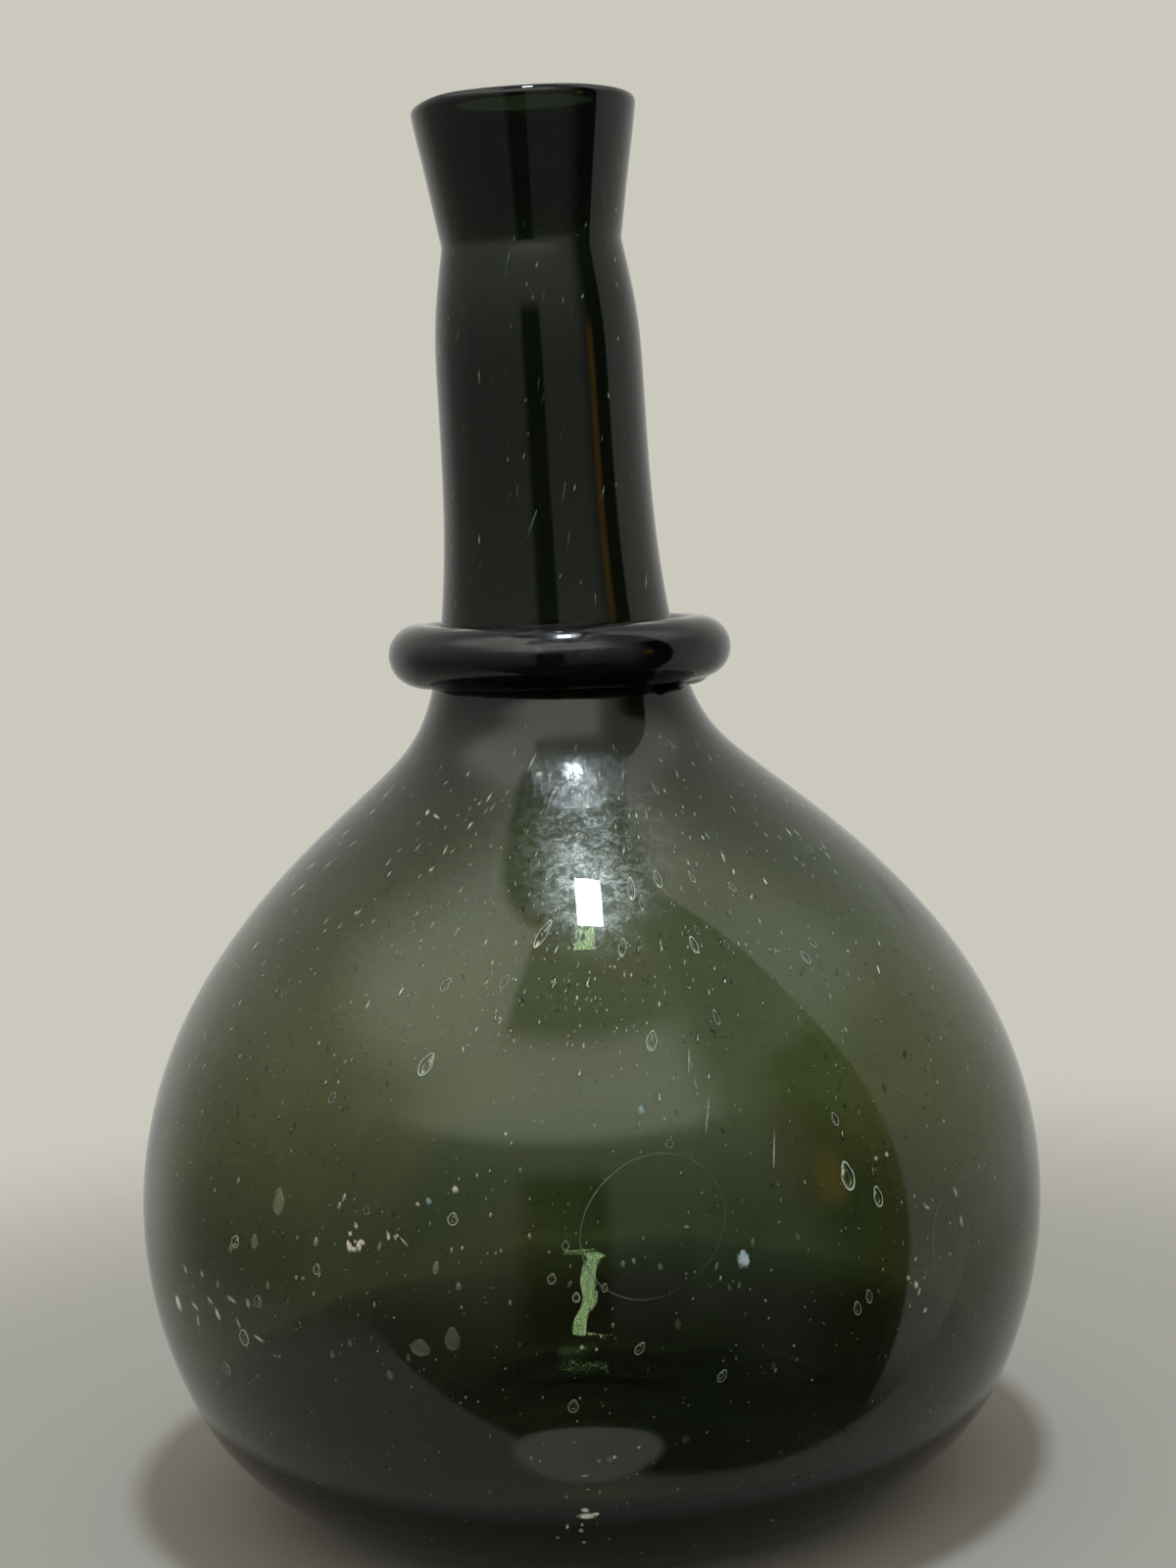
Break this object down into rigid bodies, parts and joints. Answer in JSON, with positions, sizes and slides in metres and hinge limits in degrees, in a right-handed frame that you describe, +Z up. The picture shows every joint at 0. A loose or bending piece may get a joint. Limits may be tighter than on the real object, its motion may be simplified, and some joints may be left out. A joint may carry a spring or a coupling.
{
  "type": "antique glass bottle",
  "caption": "Free-blown green glass bottle with an onion body, a long neck with a trailed ring at its foot, a pinched flared mouth and a low kick-up with a pontil scar.",
  "frame": {"origin": "middle of the base, on the surface that the bottle stands on", "axes": "+Z up the neck to the mouth, -Y to the front, +X to the right of the front"},
  "size_m": [0.18, 0.18, 0.275],
  "materials": {
    "vessel_glass": "fire-polished, with seeds, stones and fine scratches",
    "ring_glass": "fire-polished",
    "scar_glass": "broken and worn"
  },
  "bodies": {
    "root": {"blown_vessel": "vessel_glass", "neck_ring": "ring_glass", "pontil_scar": "scar_glass"}
  },
  "joints": []
}
